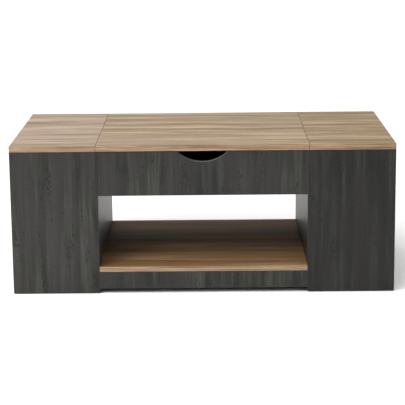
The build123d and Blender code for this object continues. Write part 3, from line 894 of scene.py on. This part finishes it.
base_pins, upper_pins = bmesh.new(), bmesh.new()
for _, s in SIDES:
    rivet(base_pins, s, front_pivot, 0, 9.7, [(9.7, HEAD_RISE)], (2.5, 6.3))
    rivet(base_pins, s, rear_pivot, 0, 6.2, [(6.2, HEAD_RISE)])
    for place, under, shoulder in ((front_tip, 6.3, None), (rear_tip, 2.8, (6.2, 10))):
        heads = [(under, -HEAD_RISE), (WEB_FACE, FLUSH_RISE)]
        rivet(upper_pins, s, place, under, WEB_FACE, heads, shoulder)
add_piece(
    "base_pivot_rivets", closed(base_pins), [zinc], "case", ["base_pivot_pins"]
)
add_piece(
    "upper_pivot_rivets", closed(upper_pins), [zinc], "lift_top", ["upper_pivot_pins"]
)

hook_pin = [(0, 0), (2.5, 0), (2.5, 19.2), (4.1, 19.5), (4.5, 20), (4.2, 20.6), (2.4, 21), (0, 21)]
for node, body, place, start in (
    ("spring_anchor_pins", "case", joints["left_spring_swing"], 0),
    ("arm_tail_pins", "front_arms", tail, FRONT_ARM_LAYERS[0]),
):
    pins = bmesh.new()
    profile = [(r, h if h == 0 else h + FRONT_ARM_LAYERS[0] - start) for r, h in hook_pin]
    for _, s in SIDES:
        turned(pins, at_layer(s, start, place), Vector((-s, 0, 0)), profile)
    add_piece(node + "_turned", closed(pins), [zinc], body, [node])

stop_low, stop_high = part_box("stop_pins")
stop_place = (stop_low + stop_high) / 2
stops = bmesh.new()
for _, s in SIDES:
    turned(
        stops,
        at_layer(s, 0, stop_place),
        Vector((-s, 0, 0)),
        [(0, 0), (3, 0), (3, 8.9), (2.8, 9.3), (2.4, 9.5), (0, 9.5)],
    )
add_piece("stop_pins_turned", closed(stops), [zinc], "case", ["stop_pins"])

# Screws: zinc plated pan heads with a cross recess, driven into the boards. Six hold each base
# plate, and four hold each bracket to the lift top.
SCREW_RADIUS, SCREW_HEAD = 0.004, 0.0018
RECESS_HALF, RECESS_REACH, RECESS_DEPTH = 0.00055, 0.0019, 0.0012
PLATE_SCREWS = ((-208, 362), (-208, 386), (-120, 402), (-120, 362), (-20, 360), (36, 360))
FLANGE_SCREWS, FLANGE_MIDDLE, PLATE_FACE = (-70, -25, 25, 70), 0.027, 2.5


def pan_head(shape, foot, direction):
    """A round head whose top is a small grid: its middle row and column are pushed in."""
    grid = bmesh.ops.create_grid(shape, x_segments=3, y_segments=3, size=RECESS_REACH)
    verts = set(grid["verts"])
    for vert in verts:
        for axis in (0, 1):
            if abs(vert.co[axis]) < 0.9 * RECESS_REACH:
                vert.co[axis] = RECESS_HALF if vert.co[axis] > 0 else -RECESS_HALF
        vert.co.z = SCREW_HEAD
    top = [face for face in shape.faces if set(face.verts) <= verts]
    cross = [face for face in top if min(abs(c) for c in face.calc_center_median()[:2]) < 1e-5]
    outline = [e for e in shape.edges if set(e.verts) <= verts and e.is_boundary]
    for radius, height in ((0.8, 1), (1, 0.55), (1, 0)):
        ring = bmesh.ops.extrude_edge_only(shape, edges=outline)["geom"]
        outline = [part for part in ring if isinstance(part, bmesh.types.BMEdge)]
        for vert in [part for part in ring if isinstance(part, bmesh.types.BMVert)]:
            flat = Vector((vert.co.x, vert.co.y, 0)).normalized() * SCREW_RADIUS * radius
            vert.co = (flat.x, flat.y, SCREW_HEAD * height)
            verts.add(vert)
        outline = [edge for edge in outline if edge.is_boundary]
    bmesh.ops.contextual_create(shape, geom=outline)
    pushed = bmesh.ops.extrude_face_region(shape, geom=cross)["geom"]
    sunk = [part for part in pushed if isinstance(part, bmesh.types.BMVert)]
    bmesh.ops.translate(shape, vec=(0, 0, -RECESS_DEPTH), verts=sunk)
    bmesh.ops.delete(shape, geom=cross, context="FACES_ONLY")
    verts |= set(sunk)
    lean = direction.to_track_quat("Z", "Y").to_matrix().to_4x4()
    bmesh.ops.transform(shape, matrix=Matrix.Translation(foot) @ lean, verts=list(verts))


plate_screws, flange_screws = bmesh.new(), bmesh.new()
for side, s in SIDES:
    for y, z in PLATE_SCREWS:
        place = Vector((0, y / 1000, z / 1000))
        pan_head(plate_screws, at_layer(s, PLATE_FACE, place), Vector((-s, 0, 0)))
    low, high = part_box(side + "_top_bracket")
    x, middle = s * (INNER_FACE - FLANGE_MIDDLE), (low.y + high.y) / 2
    for y in FLANGE_SCREWS:
        place = Vector((x, middle + y / 1000, high.z - BRACKET_SHEET))
        pan_head(flange_screws, place, Vector((0, 0, -1)))
for name, shape, body, node in (
    ("base_plate_screw_heads", plate_screws, "case", "base_plate_screws"),
    ("bracket_screw_heads", flange_screws, "lift_top", "bracket_screws"),
):
    bmesh.ops.recalc_face_normals(shape, faces=shape.faces)
    add_piece(name, shape, [zinc], body, [node])

# Extension springs: nickel plated wire in about a hundred turns, with a loop at each end. As the
# top lifts, each spring draws in towards its anchor.
COIL_MM, WIRE_MM, HOOK_MM, LOOP_MM = 5.2, 0.8, 12, 4.2
TURNS, STEPS_A_TURN, WIRE_SIDES, LOOP_STEPS, HOOK_LAYER = 100, 14, 7, 24, 21
STEM = ((0, LOOP_MM), (0, HOOK_MM - 1), (COIL_MM, HOOK_MM))

for side, s in SIDES:
    anchor = joints[side + "_spring_swing"]
    hooked = at_layer(s, HOOK_LAYER, tail)
    pull = hooked - anchor
    spring = bmesh.new()
    coil_mm = pull.length * 1000 - 2 * HOOK_MM
    lean = Matrix.Translation((COIL_MM / 1000, 0, HOOK_MM / 1000)) @ Matrix.Rotation(pi / 2, 4, "X")
    wire = bmesh.ops.create_circle(
        spring, segments=WIRE_SIDES, radius=WIRE_MM / 1000, matrix=lean
    )
    steps = TURNS * STEPS_A_TURN
    bmesh.ops.spin(
        spring,
        geom=wire["verts"] + spring.edges[:],
        cent=(0, 0, 0),
        axis=(0, 0, 1),
        dvec=(0, 0, coil_mm / 1000 / steps),
        angle=tau * TURNS,
        steps=steps,
    )
    for base, up in ((0, 1), (pull.length, -1)):
        at = Matrix.Translation((0, 0, base + up * LOOP_MM / 1000))
        at = at @ Matrix.Rotation(pi / 2, 4, "Z") @ Matrix.Rotation(pi / 2, 4, "Y")
        ring = bmesh.ops.create_circle(
            spring, segments=WIRE_SIDES, radius=WIRE_MM / 1000, matrix=at
        )
        ring_edges = [e for e in spring.edges if set(e.verts) <= set(ring["verts"])]
        bmesh.ops.spin(
            spring,
            geom=ring["verts"] + ring_edges,
            cent=(0, 0, base),
            axis=(1, 0, 0),
            angle=tau,
            steps=LOOP_STEPS,
            use_merge=True,
        )
        for start, end in zip(STEM, STEM[1:]):
            p = Vector((start[0] / 1000, 0, start[1] * up / 1000 + base))
            q = Vector((end[0] / 1000, 0, end[1] * up / 1000 + base))
            aim = (q - p).to_track_quat("Z", "Y").to_matrix().to_4x4()
            bmesh.ops.create_cone(
                spring,
                cap_ends=True,
                segments=WIRE_SIDES,
                radius1=WIRE_MM / 1000,
                radius2=WIRE_MM / 1000,
                depth=(q - p).length + WIRE_MM / 1000,
                matrix=Matrix.Translation((p + q) / 2) @ aim,
            )
    bmesh.ops.holes_fill(spring, edges=spring.edges, sides=WIRE_SIDES)
    aim = pull.to_track_quat("Z", "Y").to_matrix().to_4x4()
    across = aim.to_3x3().inverted() @ Vector((1, 0, 0))
    roll = Matrix.Rotation(atan2(across.y, across.x), 4, "Z")
    bmesh.ops.transform(
        spring, matrix=Matrix.Translation(anchor) @ aim @ roll, verts=spring.verts
    )
    bmesh.ops.recalc_face_normals(spring, faces=spring.faces)
    for face in spring.faces:
        face.smooth = True
    node = side + "_spring"
    coil = add_piece(node + "_coil", spring, [nickel_wire], node, [node])
    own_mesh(coil)

# Glides and bumpers: moulded black plastic buttons under the uprights, and soft clear domes that
# the lift top comes down on.
GLIDE_RADIUS, BUMPER_RADIUS, SIDE_HALF = 0.0075, 0.005, 0.008

glides = bmesh.new()
low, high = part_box("foot_glides")
inner_x, outer_x = INNER_FACE + SIDE_HALF, high.x - GLIDE_RADIUS
for x in (-outer_x, -inner_x, inner_x, outer_x):
    for y in (low.y + GLIDE_RADIUS, high.y - GLIDE_RADIUS):
        turned(
            glides,
            Vector((x, y, high.z)),
            Vector((0, 0, -1)),
            [(0, 0), (7.5, 0), (7.5, 1.9), (7.1, 2.6), (6.3, 3), (3, 3), (2.6, 2.2), (0, 2.2)],
        )
glide_plastic = plain_plastic("moulded_black_polypropylene", "#202021", 0.45, 1.5)
add_piece(
    "glide_buttons", closed(glides), [glide_plastic], "case", ["foot_glides"]
)

domes = bmesh.new()
low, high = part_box("lid_bumpers")
for x in (low.x + BUMPER_RADIUS, high.x - BUMPER_RADIUS):
    for y in (low.y + BUMPER_RADIUS, high.y - BUMPER_RADIUS):
        turned(
            domes,
            Vector((x, y, low.z)),
            Vector((0, 0, 1)),
            [(0, 0), (5, 0), (4.9, 0.5), (4.2, 1.1), (3, 1.5), (1.5, 1.67), (0, 1.7)],
        )
clear_rubber = new_material("clear_polyurethane_bumper")
place = add_node(clear_rubber, "TexCoord").outputs["Object"]
haze = wood_noise(clear_rubber, place, 1.5, 1, 2, 4)
haze_gloss = add_node(clear_rubber, "MapRange", {"Value": haze, "To Min": 0.16, "To Max": 0.34})
finish_material(
    clear_rubber,
    {
        "Base Color": linear("#d8d8d2"),
        "Roughness": haze_gloss.outputs["Result"],
        "IOR": 1.49,
        "Transmission Weight": 0.6,
    },
)
add_piece("bumper_domes", closed(domes), [clear_rubber], "case", ["lid_bumpers"])

# Hidden fittings: zinc plated cam locks and bolts, and fluted dowels of raw beech, whose fine
# rays give it a dull pinkish tan. They keep the frame's turned shapes.
beech = new_material("raw_beech_dowel")
place = add_node(beech, "TexCoord").outputs["Object"]
rays = wood_noise(beech, place, 2, 4, 3, 5)
ray_tone = add_node(
    beech, "ValToRGB", {"Fac": rays}, stops=[(0.35, "#b98d62"), (0.65, "#d3ab82")]
)
finish_material(beech, {"Base Color": ray_tone.outputs["Color"], "Roughness": 0.7, "IOR": 1.5})
for node, finish in (("cam_locks", zinc), ("cam_bolts", zinc), ("dowels", beech)):
    for slot in frame["nodes"][node].material_slots:
        slot.material = finish

size = {
    "cad": [list(corner) for corner in cad_box],
    "visual": [list(corner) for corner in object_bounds()],
}
